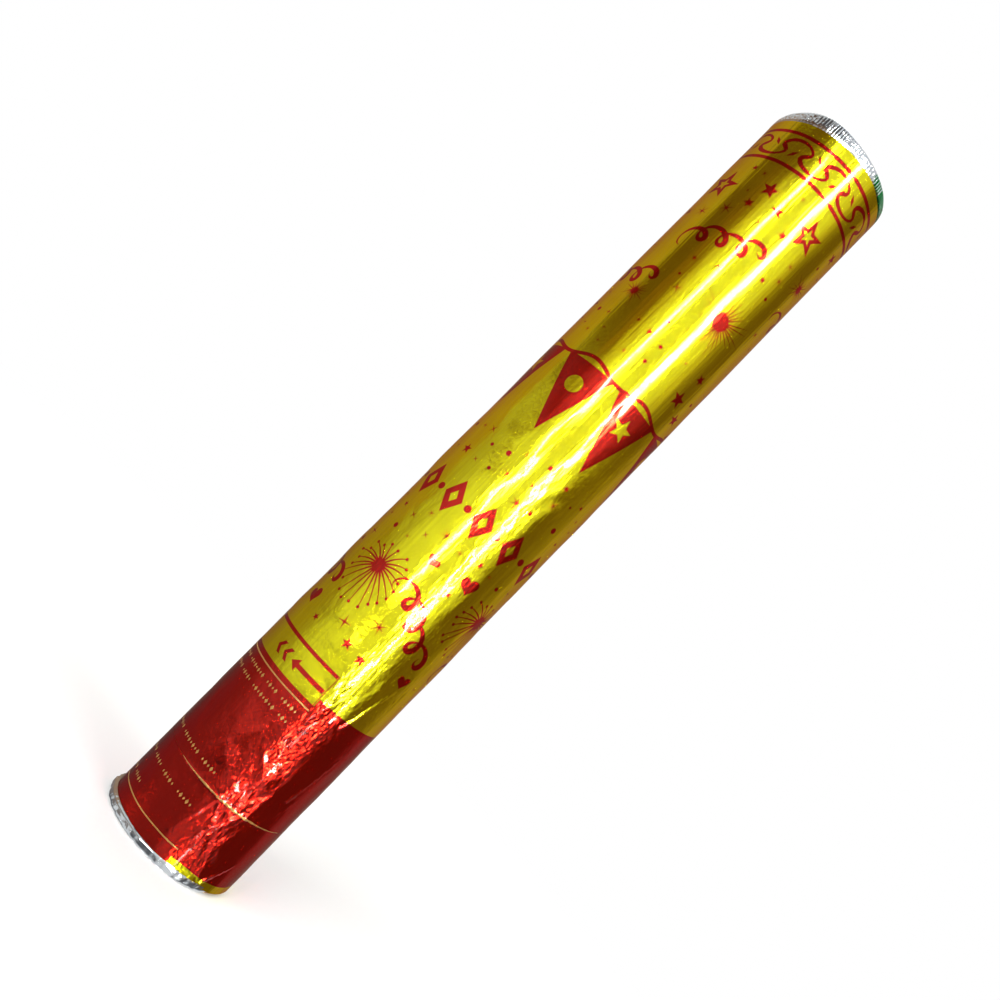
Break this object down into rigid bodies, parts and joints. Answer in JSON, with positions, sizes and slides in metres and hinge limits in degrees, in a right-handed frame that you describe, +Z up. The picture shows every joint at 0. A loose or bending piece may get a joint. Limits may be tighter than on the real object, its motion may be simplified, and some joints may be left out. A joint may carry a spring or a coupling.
{
  "type": "confetti popper",
  "caption": "Twist-grip confetti popper: foil-wrapped board tube with a compressed-air bottle, piercing cap, wad, packed confetti and foil end covers",
  "frame": {"origin": "middle of the base foil's flat face, on the tube's axis", "axes": "+Z up the tube from the grip end to the muzzle, +X to the right of the pictured side, +Y away from the camera"},
  "size_m": [0.0472, 0.0472, 0.3],
  "materials": {
    "wound_board": "matte",
    "printed_film": "gloss",
    "silver_foil": "gloss",
    "moulded_plastic": "satin",
    "cap_plastic": "satin",
    "bottle_plastic": "gloss",
    "seal_rubber": "matte",
    "tack_steel": "satin",
    "grey_card": "matte",
    "wad_foam": "matte",
    "confetti_gold": "gloss",
    "confetti_red": "gloss",
    "confetti_green": "gloss",
    "confetti_silver": "gloss",
    "confetti_blue": "gloss"
  },
  "bodies": {
    "barrel": {"barrel_tube": "wound_board", "barrel_wrap": "printed_film", "guide_cage": "moulded_plastic", "cage_tacks": "tack_steel", "neck_seal": "seal_rubber", "retaining_tacks": "tack_steel"},
    "grip": {"grip_tube": "wound_board", "grip_wrap": "printed_film", "grip_core": "moulded_plastic", "base_disc": "grey_card", "base_foil": "silver_foil", "air_bottle": "bottle_plastic", "fill_valve": "seal_rubber", "seal_foil": "silver_foil"},
    "piercer": {"piercing_cap": "cap_plastic", "piercing_pin": "tack_steel"},
    "wad": {"wad_disc": "grey_card", "wad_foam": "wad_foam"},
    "confetti": {"confetti_gold": "confetti_gold", "confetti_red": "confetti_red", "confetti_green": "confetti_green", "confetti_silver": "confetti_silver", "confetti_blue": "confetti_blue"},
    "cover": {"muzzle_disc": "grey_card", "muzzle_cover": "silver_foil"}
  },
  "joints": [
    {"name": "grip_twist", "type": "hinge", "parent": "barrel", "child": "grip", "pos_m": [0, 0, 0.0255], "axis": [0, 0, -1], "range_deg": [0, 90]},
    {"name": "piercer_feed", "type": "slide", "parent": "barrel", "child": "piercer", "axis": [0, 0, -1], "range_m": [0, 0.003], "deforming": ["seal_foil"]},
    {"name": "wad_drive", "type": "slide", "parent": "barrel", "child": "wad", "axis": [0, 0, 1], "range_m": [0, 0.16]},
    {"name": "confetti_shot", "type": "slide", "parent": "barrel", "child": "confetti", "axis": [0, 0, 1], "range_m": [0, 0.16]},
    {"name": "cover_pop", "type": "slide", "parent": "barrel", "child": "cover", "axis": [0, 0, 1], "range_m": [0, 0.16]}
  ],
  "couplings": [
    {"joint": "piercer_feed", "follows": "grip_twist", "m_per_rad": 0.0019099},
    {"joint": "confetti_shot", "follows": "wad_drive", "ratio": 1},
    {"joint": "cover_pop", "follows": "wad_drive", "ratio": 1}
  ]
}
